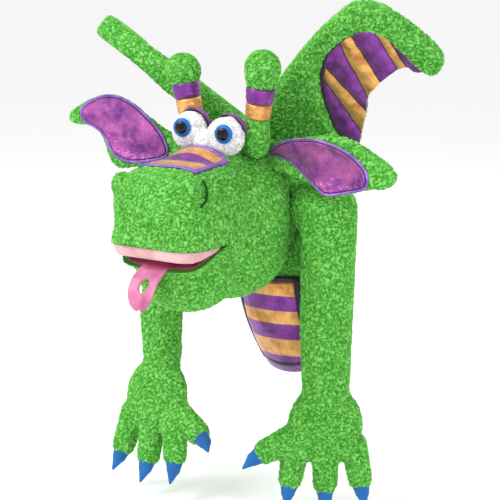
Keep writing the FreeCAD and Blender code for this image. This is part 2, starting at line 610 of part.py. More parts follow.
def web_plate(label, front, thick, sign):
    """The wing's flat cloth, padded from a sketch of its scalloped outline."""
    body = doc.addObject("PartDesign::Body", label)
    body.Label = label
    sketch = body.newObject("Sketcher::SketchObject", f"{label}_outline")
    plane = [item for item in body.Origin.OriginFeatures if item.Role == "XZ_Plane"][0]
    sketch.AttachmentSupport = [(plane, "")]
    sketch.MapMode = "FlatFace"
    corners = [FreeCAD.Vector(out if sign == "" else -out, up, 0) for out, up in WEB]
    count = len(corners)
    for index in range(count):
        sketch.addGeometry(Part.LineSegment(corners[index], corners[(index + 1) % count]), False)
    for index in range(count):
        sketch.addConstraint(Sketcher.Constraint("Coincident", index, 2, (index + 1) % count, 1))
    for index, corner in enumerate(corners):
        across = sketch.addConstraint(Sketcher.Constraint("DistanceX", -1, 1, index, 1, corner.x))
        sketch.setExpression(f"Constraints[{across}]", f"{sign}Sizes.web_out_{index}")
        height = sketch.addConstraint(Sketcher.Constraint("DistanceY", -1, 1, index, 1, corner.y))
        sketch.setExpression(f"Constraints[{height}]", f"Sizes.web_up_{index}")
    pad = body.newObject("PartDesign::Pad", f"{label}_pad")
    pad.Profile = sketch
    pad.setExpression("Length", named(thick))
    body.setExpression("Placement", at(0, front, 0))
    return body


def wing_form(label, sign, grow):
    """Root ball, bar, elbow ball, beam and tip ball in the wing's own frame."""
    root, elbow, tip = (f"wing_{word}_radius + {grow}" for word in ("root", "elbow", "tip"))
    tip_x = f"{sign}(wing_beam * cos(wing_drop))"
    tip_z = "wing_bar - wing_beam * sin(wing_drop)"
    return [
        sphere(f"{label}_root", at(), root),
        cone(f"{label}_bar", at(), root, elbow, "wing_bar"),
        sphere(f"{label}_elbow", at(0, 0, "wing_bar"), elbow),
        cone(f"{label}_beam", at(0, 0, "wing_bar", pitch=f"{sign}(90 + wing_drop)"), elbow, tip, "wing_beam"),
        sphere(f"{label}_tip", at(tip_x, 0, tip_z), tip)]


for side, sign, flip in (("left", "1 * ", ""), ("right", "-1 * ", "-")):
    spot = at(f"{sign}wing_out", "wing_y", "wing_z", yaw=f"{side}_wing_yaw",
              pitch=f"{side}_wing_pitch", roll=f"{side}_wing_roll")
    node(fuse(f"wing_arch_{side}", *wing_form(f"wing_arch_form_{side}", sign, 0), where=spot))
    arch_clear = fuse(f"wing_clear_{side}", *wing_form(f"wing_clear_form_{side}", sign, "layer_gap"))
    membrane = web_plate(f"membrane_plate_{side}", "0", "satin_wall", flip)
    node(cut(f"wing_membrane_{side}", membrane, arch_clear, where=spot))
    backing = web_plate(f"backing_plate_{side}", "fleece_wall", "fleece_wall - layer_gap", flip)
    node(cut(f"wing_backing_{side}", backing, arch_clear, where=spot))

# ---- build, check and write ---------------------------------------------------------------------
doc.recompute()
faults = [item.Label for item in doc.Objects if {"Invalid", "Error"} & set(item.State)]
for item in nodes:
    if item.Shape.isNull() or not item.Shape.isValid() or item.Shape.Volume <= 0:
        faults.append(f"{item.Label} has no sound shape")
labels = [item.Label for item in nodes]
if len(set(labels)) != len(labels):
    faults.append("two sub-parts share a label")
if faults:
    raise RuntimeError("; ".join(faults))
os.makedirs("parts", exist_ok=True)
for item in nodes:
    item.Shape.exportStep(f"parts/{item.Label}.step")
print(len(nodes), "sub-parts written")
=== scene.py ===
# %% [markdown]
# # A soft dragon hand puppet
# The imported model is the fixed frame: it says where every body is and how it moves. Everything
# below is the puppet's cloth, stuffing and trim, made round that frame in metres. The puppet looks
# along -Y, its own left side is +X and +Z is up.

# %% Load the frame
import json
import math

import bpy
import numpy as np
from mathutils import Euler, Matrix, Vector, noise


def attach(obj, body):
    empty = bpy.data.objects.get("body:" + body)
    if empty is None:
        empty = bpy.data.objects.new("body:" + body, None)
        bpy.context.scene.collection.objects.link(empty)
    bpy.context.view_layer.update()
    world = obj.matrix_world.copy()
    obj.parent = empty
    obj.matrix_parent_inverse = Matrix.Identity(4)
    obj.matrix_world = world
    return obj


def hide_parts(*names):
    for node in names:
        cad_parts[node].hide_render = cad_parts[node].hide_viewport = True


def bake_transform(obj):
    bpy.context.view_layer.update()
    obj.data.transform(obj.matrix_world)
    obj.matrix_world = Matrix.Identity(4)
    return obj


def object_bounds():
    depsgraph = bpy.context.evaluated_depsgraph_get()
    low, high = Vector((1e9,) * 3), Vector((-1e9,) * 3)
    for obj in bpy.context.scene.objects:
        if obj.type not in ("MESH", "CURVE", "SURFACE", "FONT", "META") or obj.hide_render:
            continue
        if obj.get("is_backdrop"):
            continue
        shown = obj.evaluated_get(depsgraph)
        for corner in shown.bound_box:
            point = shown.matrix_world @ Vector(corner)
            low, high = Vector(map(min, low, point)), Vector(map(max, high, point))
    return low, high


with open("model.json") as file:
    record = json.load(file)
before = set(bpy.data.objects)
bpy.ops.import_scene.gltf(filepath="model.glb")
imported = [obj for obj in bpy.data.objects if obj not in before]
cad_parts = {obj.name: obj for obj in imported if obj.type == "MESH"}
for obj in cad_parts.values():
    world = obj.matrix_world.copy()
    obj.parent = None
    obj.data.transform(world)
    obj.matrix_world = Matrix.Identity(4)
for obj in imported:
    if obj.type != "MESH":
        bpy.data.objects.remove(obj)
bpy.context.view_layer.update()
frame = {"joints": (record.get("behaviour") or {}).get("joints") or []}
scene = bpy.context.scene
MM = 0.001
pivot = {joint["name"]: Vector(joint["pos_m"]) for joint in frame["joints"]}

# %% [markdown]
# The head's sizes are easiest to read from its own centre, as a pattern cutter would. The neck
# turns 50 mm straight behind that centre, so the neck's joint gives it.

# %% The head's centre, and points given from it in millimetres
HEAD = pivot["neck_turn"] - Vector((0, 50 * MM, 0))


def from_head(x, y, z):
    return HEAD + Vector((x, y, z)) * MM


print("head centre:", [round(v, 4) for v in HEAD])

# %% [markdown]
# Modelling by hand means choosing, then acting. The frame leaves its nodes selected, so each
# helper first deselects everything. A soft form starts as a few balls and tapering stubs, which
# are joined, wrapped in one even skin by a voxel remesh, and smoothed as cloth smooths a stuffing.

# %% Choosing pieces and applying modifiers
def only(piece):
    bpy.ops.object.select_all(action="DESELECT")
    piece.select_set(True)
    bpy.context.view_layer.objects.active = piece
    return piece


def settle(piece):
    """Puts the piece's place, turn and size into its mesh."""
    only(piece)
    bpy.ops.object.transform_apply(location=True, rotation=True, scale=True)
    return piece


def shaped(piece, kind, **settings):
    """Adds one modifier and applies it."""
    only(piece)
    modifier = piece.modifiers.new(kind.title(), kind)
    for name, value in settings.items():
        setattr(modifier, name, value)
    bpy.ops.object.modifier_apply(modifier=modifier.name)
    return piece


def edit(piece, *steps, where=None):
    """Opens the mesh, selects all of it or the faces that where picks, and runs the steps."""
    only(piece)
    bpy.ops.object.mode_set(mode="EDIT")
    bpy.ops.mesh.select_mode(type="FACE" if where else "VERT")
    bpy.ops.mesh.select_all(action="DESELECT" if where else "SELECT")
    bpy.ops.object.mode_set(mode="OBJECT")
    if where:
        for face in piece.data.polygons:
            face.select = where(face)
    bpy.ops.object.mode_set(mode="EDIT")
    for step in steps:
        step()
    bpy.ops.object.mode_set(mode="OBJECT")
    return piece


def smoothed(piece):
    """Shades the piece smooth all over."""
    return edit(piece, lambda: bpy.ops.mesh.faces_shade_smooth())


def remeshed(piece, voxel):
    """Wraps the piece in one closed skin of even faces, their size in millimetres."""
    return shaped(piece, "REMESH", mode="VOXEL", voxel_size=voxel * MM)


def relaxed(piece, rounds):
    return shaped(piece, "SMOOTH", factor=0.5, iterations=rounds)


def thickened(piece, thick, offset=-1):
    return shaped(piece, "SOLIDIFY", thickness=thick * MM, offset=offset)


def joined(name, parts):
    bpy.ops.object.select_all(action="DESELECT")
    for part in parts:
        part.select_set(True)
    bpy.context.view_layer.objects.active = parts[0]
    bpy.ops.object.join()
    piece = settle(bpy.context.object)
    piece.name = piece.data.name = name
    return piece


def copied(piece, name):
    twin = piece.copy()
    twin.data = piece.data.copy()
    twin.name = twin.data.name = name
    scene.collection.objects.link(twin)
    return twin


# %% [markdown]
# Every soft form here is built up from balls, tapering stubs and soft-edged blocks, as a stuffing
# is. Joined and wrapped in one skin, they lose their seams, which sculpting would take longer to do.

# %% Balls, stubs and one even skin
def radians(angles):
    return [math.radians(angle) for angle in angles]


def raised(height):
    """A point that many millimetres above the origin, where turned pieces are made."""
    return Vector((0, 0, height * MM))


def ball(where, size, turn=(0, 0, 0)):
    """A ball with three half sizes in millimetres."""
    half = size if hasattr(size, "__len__") else (size, size, size)
    bpy.ops.mesh.primitive_uv_sphere_add(segments=36, ring_count=20, radius=1, location=where,
                                         rotation=radians(turn))
    bpy.context.object.scale = [value * MM for value in half]
    return settle(bpy.context.object)


def stub(start, end, low, top):
    """A round stub that tapers from one point to another, radii in millimetres."""
    way = end - start
    bpy.ops.mesh.primitive_cone_add(vertices=36, radius1=low * MM, radius2=top * MM, depth=way.length,
                                    location=(start + end) / 2,
                                    rotation=way.to_track_quat("Z", "Y").to_euler())
    return settle(bpy.context.object)


def rounded_block(where, half, edge, turn=(0, 0, 0)):
    """A block with three half sizes and soft edges, all in millimetres."""
    bpy.ops.mesh.primitive_cube_add(size=2, location=where, rotation=radians(turn))
    piece = bpy.context.object
    piece.scale = [value * MM for value in half]
    settle(piece)
    return shaped(piece, "BEVEL", width=edge * MM, segments=8)


def skinned(name, parts, voxel=3.0, rounds=8):
    """Joins forms and wraps them in one closed, even skin."""
    piece = joined(name, parts)
    remeshed(piece, voxel)
    return relaxed(piece, rounds)


# %% [markdown]
# Stuffed cloth swells between its seams. Blender's cloth does that with a little pressure: the
# form starts slim, swells for twenty frames, and no point may move further than a set cap.

# %% Stuffing a piece by cloth simulation
def stuffed(piece, pressure=4.0, cap=5.0):
    before = np.array([vertex.co for vertex in piece.data.vertices])
    only(piece)
    cloth = piece.modifiers.new("Stuffing", "CLOTH")
    cloth.settings.use_pressure = True
    cloth.settings.uniform_pressure_force = pressure
    cloth.settings.effector_weights.gravity = 0
    cloth.settings.quality = 4
    cloth.point_cache.frame_start = 1
    cloth.point_cache.frame_end = 20
    for step in range(1, 21):
        scene.frame_set(step)
    bpy.ops.object.modifier_apply(modifier=cloth.name)
    scene.frame_set(1)
    after = np.array([vertex.co for vertex in piece.data.vertices])
    moved = after - before
    far = np.linalg.norm(moved, axis=1, keepdims=True)
    scale = np.minimum(1, cap * MM / np.maximum(far, 1e-9))
    piece.data.vertices.foreach_set("co", (before + moved * scale).astype(np.float32).ravel())
    print("stuffed", piece.name, "moved at most", round(float(far.max()) / MM, 1), "mm")
    piece.data.update()
    return piece


# %% [markdown]
# Nubby fleece is a knit whose pile is tumbled into small knots about 3 mm across. The knots are
# real bumps here, pushed out along the surface, and each point keeps its height in an attribute,
# so that the colour can carry painted light on a knot's top and painted shade between knots.

# %% Raise the fleece's knots
NUB_SIZE = 2.6 * MM
NUB_HEIGHT = 0.7 * MM


def nubbed(piece, voxel=1.2, height=NUB_HEIGHT):
    """Remeshes finely, raises the knots and stores their height as an attribute."""
    remeshed(piece, voxel)
    relaxed(piece, 5)
    count = len(piece.data.vertices)
    heights = np.zeros(count, np.float32)
    for index, vertex in enumerate(piece.data.vertices):
        spot = vertex.co / NUB_SIZE
        wander = noise.noise_vector(spot * 0.7) * 0.5
        fold = abs(noise.noise(spot + wander))
        grain = noise.noise(spot * 1.7 + Vector((7, 3, 5)))
        heights[index] = max(-1, min(1, 4.2 * fold - 1.0 + 0.9 * grain))
    normals = np.array([vertex.normal for vertex in piece.data.vertices])
    points = np.array([vertex.co for vertex in piece.data.vertices])
    points += normals * heights[:, None] * height
    piece.data.vertices.foreach_set("co", points.astype(np.float32).ravel())
    knots = piece.data.attributes.new("knots", "FLOAT", "POINT")
    knots.data.foreach_set("value", heights * 0.5 + 0.5)
    piece.data.update()
    smoothed(piece)
    print(piece.name, "has", count, "points")
    return piece


# %% [markdown]
# ## Cloths and trims
# Colours are written as the hex values a cloth swatch would be matched to, and one function turns
# them to linear light. One small function adds a node with its settings and its links.

# %% Colour and node helpers
def linear(code):
    """A colour code such as 50A03C as linear light with alpha."""
    values = [int(code[index:index + 2], 16) / 255 for index in (0, 2, 4)]
    bent = [v / 12.92 if v <= 0.04045 else ((v + 0.055) / 1.055) ** 2.4 for v in values]
    return (*bent, 1)


def add_node(material, kind, inputs=None, **settings):
    """Adds one node. An input is a value, or another node's output to link."""
    node = material.node_tree.nodes.new(f"ShaderNode{kind}")
    for name, value in settings.items():
        setattr(node, name, value)
    for name, value in (inputs or {}).items():
        socket = node.inputs[name]
        if isinstance(value, bpy.types.NodeSocket):
            material.node_tree.links.new(value, socket)
        else:
            socket.default_value = value
    return node


def new_material(name, **values):
    """A principled material with plain values on its own sockets, and its shader."""
    material = bpy.data.materials.new(name)
    material.use_nodes = True
    shader = material.node_tree.nodes["Principled BSDF"]
    for key, value in values.items():
        shader.inputs[key.replace("_", " ")].default_value = value
    return material, shader


def link(material, output, socket):
    material.node_tree.links.new(output, socket)


def ramp(material, factor, stops):
    """A colour ramp from places and colour codes."""
    node = add_node(material, "ValToRGB", {"Fac": factor})
    while len(node.color_ramp.elements) < len(stops):
        node.color_ramp.elements.new(0.5)
    for element, (place, code) in zip(node.color_ramp.elements, stops):
        element.position = place
        element.color = linear(code)
    return node.outputs["Color"]


def object_points(material):
    return add_node(material, "TexCoord").outputs["Object"]


# %% [markdown]
# Polyester fleece: dyed through, no gloss, a soft edge glow from its pile. The knot heights carry
# most of the colour change, as painted shade between the knots and painted light on their tops; a
# slow cloud adds the uneven tone of a tumbled cloth, and a fine grain stands for single fibres,
# which are drawn coarser than real ones so that they show.

# %% Fleece materials
def fleece(name, dark, middle, light, sheen):
    material, shader = new_material(name, Roughness=0.92, Sheen_Weight=0.12, Sheen_Roughness=0.45,
                                    Sheen_Tint=linear(sheen), Specular_IOR_Level=0.2)
    points = object_points(material)
    knots = add_node(material, "Attribute", attribute_name="knots").outputs["Fac"]
    cloud = add_node(material, "TexNoise", {"Vector": points, "Scale": 28.0, "Detail": 2.0})
    mixed = add_node(material, "Math", {0: cloud.outputs["Fac"], 1: 0.16}, operation="MULTIPLY")
    factor = add_node(material, "Math", {0: knots, 1: mixed.outputs[0]}, operation="ADD")
    # Knot height to colour: the dark end is painted shade between knots, the light end painted light on their
    # tops.
    colour = ramp(material, factor.outputs[0], [(0.1, dark), (0.55, middle), (1.05, light)])
    link(material, colour, shader.inputs["Base Color"])
    fibre = add_node(material, "TexNoise", {"Vector": points, "Scale": 1400.0, "Detail": 2.0})
    bump = add_node(material, "Bump", {"Height": fibre.outputs["Fac"], "Strength": 0.35,
                                       "Distance": 0.4 * MM})
    link(material, bump.outputs["Normal"], shader.inputs["Normal"])
    return material


green_fleece = fleece("green polyester fleece", "2E7A1A", "54A23E", "76C65C", "90E070")
white_fleece = fleece("white polyester fleece", "B8B8B8", "DADADA", "EEEEEE", "FFFFFF")
print("fleeces:", green_fleece.name, "and", white_fleece.name)


# %% [markdown]
# Lame is a thin knit with a metallised film on it. It shines in streaks where it creases, so it
# is part metal with a middling roughness, a fine rib for the knit and a slow crumple that breaks
# its highlights.

# %% Lame materials
RIB = 0.9 * MM


def lame(name, dark, light, roughness=0.36, metal=0.55):
    material, shader = new_material(name, Roughness=roughness, Metallic=metal, Sheen_Weight=0.15)
    points = object_points(material)
    cloud = add_node(material, "TexNoise", {"Vector": points, "Scale": 70.0, "Detail": 5.0,
                                            "Roughness": 0.65})
    colour = ramp(material, cloud.outputs["Fac"], [(0.32, dark), (0.68, light)])
    link(material, colour, shader.inputs["Base Color"])
    crumple = add_node(material, "TexNoise", {"Vector": points, "Scale": 160.0, "Detail": 4.0,
                                              "Distortion": 1.2})
    first = add_node(material, "Bump", {"Height": crumple.outputs["Fac"], "Strength": 0.5,
                                        "Distance": 1.6 * MM})
    rib = add_node(material, "TexWave", {"Vector": points, "Scale": 0.314 / RIB, "Distortion": 2.0})
    second = add_node(material, "Bump", {"Height": rib.outputs["Fac"], "Strength": 0.25,
                                         "Distance": 0.15 * MM, "Normal": first.outputs["Normal"]})
    link(material, second.outputs["Normal"], shader.inputs["Normal"])
    return material


purple_lame = lame("purple metallised lame", "5A1C70", "9440A8")
gold_lame = lame("gold metallised lame", "B06C30", "F8BC6C")
violet_lame = lame("violet ear lame", "5C2078", "C060AC", roughness=0.28)
# Lavender is the purple edging made lighter: a painted highlight on its raised edge.
highlit_edging_lame = lame("purple edging lame with painted highlight", "6A3C9C", "A874DC")
# Dark lame for the real hem and belly binding, and for painted shade along the wing seams and the wing's
# inner edge.
dark_binding_and_shade_lame = lame("dark purple binding and painted shade", "140A1C", "3A1C48", roughness=0.5, metal=0.3)


# %% [markdown]
# Satin lines the mouth and makes the tongue: a smooth, soft-edged shine with a slow crumple. Felt,
# knit, card and black thread are the same weave with a rougher, duller face; the black thread also
# makes thin lines of painted shadow. Moulded plastic has no weave at all, only a smooth gloss.

# %% Satin, felt, plastic and lining
def satin(name, dark, light, roughness=0.42):
    material, shader = new_material(name, Roughness=roughness, Sheen_Weight=0.3, Sheen_Roughness=0.3)
    points = object_points(material)
    cloud = add_node(material, "TexNoise", {"Vector": points, "Scale": 55.0, "Detail": 3.0})
    colour = ramp(material, cloud.outputs["Fac"], [(0.3, dark), (0.7, light)])
    link(material, colour, shader.inputs["Base Color"])
    thread = add_node(material, "TexNoise", {"Vector": points, "Scale": 900.0})
    bump = add_node(material, "Bump", {"Height": thread.outputs["Fac"], "Strength": 0.3,
                                       "Distance": 0.3 * MM})
    link(material, bump.outputs["Normal"], shader.inputs["Normal"])
    return material


pale_satin = satin("pale pink satin", "C08C90", "DCB6B2")
crimson_satin = satin("crimson satin", "6A1830", "B84470")
tongue_satin = satin("pink tongue satin", "A04074", "D47EA4")
claw_felt = satin("blue felt", "145490", "0868B0", roughness=0.85)
knit_lining = satin("black knit lining", "101014", "26262C", roughness=0.8)
board = satin("pressed mouth board", "8C7C60", "B4A484", roughness=0.7)
# Black thread, also used for thin lines of painted shadow by the eyelid trim and round the nose patch.
black_thread_and_shadow = satin("black sewing thread and painted shadow", "08060A", "1C1420", roughness=0.6)

iris_blue, _ = new_material("blue moulded plastic", Base_Color=linear("0064B0"), Roughness=0.35,
                            Specular_IOR_Level=0.3)
pupil_black, _ = new_material("black moulded plastic", Base_Color=linear("020203"), Roughness=0.16,
                              Specular_IOR_Level=0.35)
washer_grey, _ = new_material("natural nylon washer", Base_Color=linear("C8C8C0"), Roughness=0.5)


def dressed(piece, material, body=None, nodes=()):
    """Gives the piece its material if it has none and its body, and hides the plain solids it stands for."""
    if not piece.data.materials:
        piece.data.materials.append(material)
    if body:
        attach(piece, body)
    if nodes:
        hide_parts(*nodes)
    return piece


# %% [markdown]
# ## Head
# The head is one stuffed form: a round skull, full cheeks, a deep blunt muzzle and a chin. The
# mouth is a wedge cut out of it. Cutting both halves from the same form keeps the cheek whole
# where the jaw's cloth meets the head's.

# %% The whole head form
head_form = skinned("head_form", [
    ball(from_head(0, -8, 14), (56, 54, 60)),
    ball(from_head(0, -14, -14), (56, 58, 50)),
    rounded_block(from_head(0, -75, 21), (50.5, 49, 42), 31, turn=(5, 0, 0)),
    rounded_block(from_head(0, -80, -4), (50, 42, 22), 20),
    ball(from_head(0, -66, -28), (45, 45, 40)),
    ball(from_head(0, -40, 44), (42, 40, 32)),
], voxel=3.0, rounds=14)
print("head form:", [round(v / MM) for v in head_form.dimensions])


# %% [markdown]
# The mouth is opened with wedges: a side outline is extruded right across the head, and an exact
# boolean takes it away or keeps what is inside it. Both jaws then share one form.

# %% Cutting blocks
def extruded(name, points, way):
    """A closed block: an outline of points in order, extruded along a way."""
    bpy.ops.mesh.primitive_circle_add(vertices=len(points), radius=MM, fill_type="NGON")
    piece = bpy.context.object
    piece.name = piece.data.name = name
    for vertex, point in zip(piece.data.vertices, points):
        vertex.co = point
    return edit(
        piece,
        lambda: bpy.ops.mesh.extrude_region_move(TRANSFORM_OT_translate={"value": way}),
        lambda: bpy.ops.mesh.select_all(action="SELECT"),
        lambda: bpy.ops.mesh.normals_make_consistent(inside=False))


def wedge(name, corners, half_wide=90):
    """A block whose side outline is given from the head's centre, front to back and up."""
    points = [from_head(-half_wide, y, z) for y, z in corners]
    return extruded(name, points, (2 * half_wide * MM, 0, 0))


def carved(piece, tool, how="DIFFERENCE", keep=False):
    """Cuts the tool's form out of the piece, or keeps only what is inside it."""
    shaped(piece, "BOOLEAN", operation=how, object=tool, solver="EXACT")
    if not keep:
        bpy.data.objects.remove(tool)
    return piece


HINGE = (-72, -3)
UPPER_LIP = [(-92, -4.5), (-200, -6)]
LOWER_LIP = [(-86, -9), (-106, -22), (-200, -78)]
THROAT = [(-200, -160), (-60, -160), (-62, -60)]
jaw_space = wedge("jaw_space", [HINGE, *UPPER_LIP, *THROAT])
jaw_block = wedge("jaw_block", [HINGE, *LOWER_LIP, *THROAT])

head_skin = nubbed(copied(head_form, "head_skin"))
jaw_skin = copied(head_skin, "jaw_skin")
carved(head_skin, jaw_space)
carved(jaw_skin, jaw_block, "INTERSECT")
dressed(head_skin, green_fleece, "head", ["head_cover", "head_stuffing", "throat_gusset"])
dressed(jaw_skin, green_fleece, None, ["jaw_cover", "jaw_stuffing"])
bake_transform(jaw_skin)

# %% [markdown]
# Both mouth faces are satin over a padded board. The upper one shows as a pale rounded rim under
# the lip, the lower one as a crimson floor.

# %% The mouth's satin faces
def mouth_pad(name, corners, material, body, nodes, inset=1.5):
    block = wedge(f"{name}_block", corners)
    piece = copied(head_form, name)
    shaped(piece, "DISPLACE", strength=-inset * MM, mid_level=0)
    carved(piece, block, "INTERSECT")
    remeshed(piece, 1.6)
    relaxed(piece, 8)
    smoothed(piece)
    return dressed(piece, material, body, nodes)


upper_palate = mouth_pad("upper_palate_satin", [(-72, 2), (-200, 2), (-200, -16), (-110, -15), (-84, -9)],
                         pale_satin, "head", ["upper_palate"])
lower_palate = mouth_pad("lower_palate_satin", [(-74, -3), (-87, -8), (-106, -20), (-200, -75),
                                                (-200, -81), (-106, -25), (-74, -8)],
                         crimson_satin, "jaw", ["lower_palate"], inset=3.0)
lower_board = mouth_pad("lower_board_card", [(-74, -9), (-106, -25.5), (-200, -81.5), (-200, -84),
                                             (-106, -27.5), (-74, -11)],
                        board, "jaw", ["lower_mouth_board"], inset=8.0)
print("mouth made")

# %% [markdown]
# Ears, wings and the tongue are cut from flat cloth. Each starts as a closed outline, rounded by
# cutting its corners, and is extruded to a thickness before it is bent or turned into place.

# %% Outline pieces: a flat shape from its corners, in its own plane
def flat_shape(name, corners, thick, front=0.0):
    """Corners run across and up in millimetres; the shape stands in the XZ plane."""
    points = [Vector((across, front, up)) * MM for across, up in corners]
    return extruded(name, points, (0, thick * MM, 0))


def sides(corners):
    """Each side of a closed outline, as its two ends."""
    return zip(corners, corners[1:] + corners[:1])


def swept(corners):
    """Twice the area inside a closed outline, above zero when it runs anticlockwise."""
    return sum(ax * by - bx * ay for (ax, ay), (bx, by) in sides(corners))


def rounded_line(corners, rounds=2):
    """Cuts each corner of a closed outline, as a pattern's curve is drawn."""
    for _ in range(rounds):
        cut = []
        for (ax, ay), (bx, by) in sides(corners):
            cut += [(0.75 * ax + 0.25 * bx, 0.75 * ay + 0.25 * by),
                    (0.25 * ax + 0.75 * bx, 0.25 * ay + 0.75 * by)]
        corners = cut
    return corners


def placed(piece, spot, yaw, pitch, roll):
    """Turns a piece made at the origin about X, Y and Z in turn and moves it to its root."""
    turn = Matrix.Rotation(math.radians(yaw), 4, "Z") @ Matrix.Rotation(math.radians(pitch), 4, "Y")
    turn = turn @ Matrix.Rotation(math.radians(roll), 4, "X")
    piece.matrix_world = Matrix.Translation(spot) @ turn
    return settle(piece)


def grown_line(corners, out):
    """Moves each corner of a closed outline outwards along its own bisector."""
    way = 1 if swept(corners) > 0 else -1
    moved = []
    for before, here, after in zip(corners[-1:] + corners[:-1], corners, corners[1:] + corners[:1]):
        run = Vector((after[0] - before[0], after[1] - before[1])).normalized()
        moved.append((here[0] + run.y * out * way, here[1] - run.x * out * way))
    return moved


def flat_area(corners):
    """The area inside a closed outline, in square metres."""
    return abs(swept(corners)) / 2 * MM * MM


# %% [markdown]
# ## Ears
# Each ear is a padded leaf of fleece with a shiny lining set inside a lavender edge: purple lame
# made lighter as a painted highlight. It is cupped: the long edges come forward, so the lining
# catches the light along its rim.

# %% Ears
EAR_SHAPES = {
    "left": {
        "leaf": [(-34, 2), (-26, 8), (-10, 13), (13, 18), (40, 22), (61, 25), (78, 24), (95, 18), (108, 10),
                 (123, 2), (134, -8), (129, -17), (116, -23), (97, -25), (82, -31), (64, -30), (48, -27),
                 (30, -22), (8, -17), (-20, -13), (-34, -8)],
        "lining": [(-7, 2), (13, 13), (46, 17), (72, 12), (93, 1), (104, -12), (103, -19), (96, -21),
                   (72, -26), (61, -27), (56, -24), (37, -13), (24, -4), (7, 3)],
        "turn": (-4, -1, 0)},
    "right": {
        "leaf": [(34, 2), (20, 6), (-10, 8), (-34, 10), (-54, 19), (-68, 26), (-84, 29), (-97, 27),
                 (-110, 20), (-122, 10), (-131, 0), (-131, -8), (-124, -12), (-108, -11), (-98, -13),
                 (-92, -19),
                 (-84, -30), (-75, -38), (-64, -40), (-48, -32), (-20, -24), (20, -14), (34, -8)],
        "lining": [(-116, 3), (-113, 9), (-104, 17), (-95, 23), (-82, 25), (-68, 22), (-54, 14), (-40, 4),
                   (-30, -8), (-29, -13), (-36, -18), (-55, -26), (-67, -27), (-77, -24), (-85, -15),
                   (-92, -9), (-101, -6), (-113, -4)],
        "turn": (24, 15, 0)},
}


def cup(piece, deep, middle, half):
    """Brings the long edges forward, deeper towards the lower one, as a cupped ear does."""
    for vertex in piece.data.vertices:
        off = (vertex.co.z - middle * MM) / (half * MM)
        vertex.co.y -= deep * MM * min(1.6, off * off)
    return piece


for side, shape in EAR_SHAPES.items():
    root = pivot[f"ear_swing_{side}"]
    leaf = flat_shape(f"ear_leaf_{side}", rounded_line(shape["leaf"]), 6, front=-1)
    remeshed(leaf, 3.0)
    relaxed(leaf, 3)
    stuffed(leaf, pressure=3.0, cap=2.0)
    cup(leaf, 7, -3, 28)
    placed(leaf, root, *shape["turn"])
    nubbed(leaf, voxel=1.35, height=0.6 * MM)
    dressed(leaf, green_fleece, f"ear_{side}", [f"ear_back_{side}"])
    lining_line = rounded_line(shape["lining"])
    for label, out, front, material, slot in (
            ("ear_panel", 0.0, -5.4, violet_lame, "ear_lining_lame"),
            ("ear_seam", 0.9, -4.9, black_thread_and_shadow, "dark_binding"),
            ("ear_edging", 3.2, -4.4, highlit_edging_lame, "ear_lining_lame")):
        line = grown_line(lining_line, out)
        panel = flat_shape(f"{label}_{side}", line, 1.5, front=front)
        remeshed(panel, 0.9)
        for vertex in panel.data.vertices:
            spot = Vector((vertex.co.x * 0.4, 0, vertex.co.z * 1.3)) / (13 * MM)
            vertex.co.y += noise.noise(spot) * 1.5 * MM
        cup(panel, 7, -3, 28)
        relaxed(panel, 3)
        placed(panel, root, *shape["turn"])
        smoothed(panel)
        nodes = [f"ear_lining_{side}"] if label == "ear_panel" else []
        dressed(panel, material, f"ear_{side}", nodes)
print("ears made")

# %% [markdown]
# ## Horns
# Each horn is a stuffed fleece stalk, a gold band and a purple band sewn round it, and a fleece
# knob. The bands pinch the stuffing, so the knob swells above them.

# %% Horns
HORNS = {"left": (10, 66), "right": (-10, 60)}
for side, (splay, tall) in HORNS.items():
    root = pivot[f"horn_sway_{side}"]
    stalk = skinned(f"horn_stalk_{side}_skin", [
        ball(raised(-2), (13, 12, 12)),
        stub(raised(0), raised(23), 12, 10.5)], voxel=2.0, rounds=4)
    knob = skinned(f"horn_tip_{side}_skin", [
        stub(raised(49), raised(tall - 6), 12, 15),
        ball(raised(tall), (16.5, 15.5, 17))], voxel=2.0, rounds=4)
    for piece, node in ((stalk, "horn_stalk"), (knob, "horn_tip")):
        placed(piece, root, 0, splay, 4)
        nubbed(piece, height=0.6 * MM)
        dressed(piece, green_fleece, f"horn_{side}", [f"{node}_{side}"])
    for index, (colour, material, low, top) in enumerate((("gold", gold_lame, 11.0, 11.8),
                                                          ("purple", purple_lame, 11.8, 13.0))):
        base = 22 + 14 * index
        bpy.ops.mesh.primitive_cylinder_add(vertices=64, radius=low * MM, depth=14 * MM,
                                            location=(0, 0, (base + 7) * MM))
        band = settle(bpy.context.object)
        band.name = band.data.name = f"horn_{colour}_band_{side}_cloth"
        edit(band, lambda: bpy.ops.mesh.bevel(offset=1.6 * MM, segments=4, affect="EDGES"))
        remeshed(band, 0.9)
        for vertex in band.data.vertices:
            rise = (vertex.co.z / MM - base) / 14
            around = math.atan2(vertex.co.y, vertex.co.x)
            wrinkle = 0.02 * math.sin(3 * math.tau * rise + 2 * math.sin(2 * around))
            puff = 1 + (top / low - 1) * rise + wrinkle
            vertex.co.x *= puff
            vertex.co.y *= puff
        relaxed(band, 3)
        placed(band, root, 0, splay, 4)
        smoothed(band)
        dressed(band, material, f"horn_{side}", [f"horn_{colour}_band_{side}"])
print("horns made")

# %% [markdown]
# ## Eyes
# Two white fleece lobes meet over the nose. Each carries a blue disc with a black pupil, both
# slightly domed, on a post held by a washer inside. A lame trim runs over the lobes' tops.

# %% Eyes
whites = skinned("eye_white_lobes", [
    ball(from_head(20, -38, 84), (19, 13.5, 17.5)), ball(from_head(-20, -38, 87), (18.5, 13.5, 17.5)),
    ball(from_head(0, -38, 78), (14, 11, 10))], voxel=2.0, rounds=5)
nubbed(whites, height=0.25 * MM)
dressed(whites, white_fleece, "head", ["eye_whites"])


LOOK_ASIDE = 15


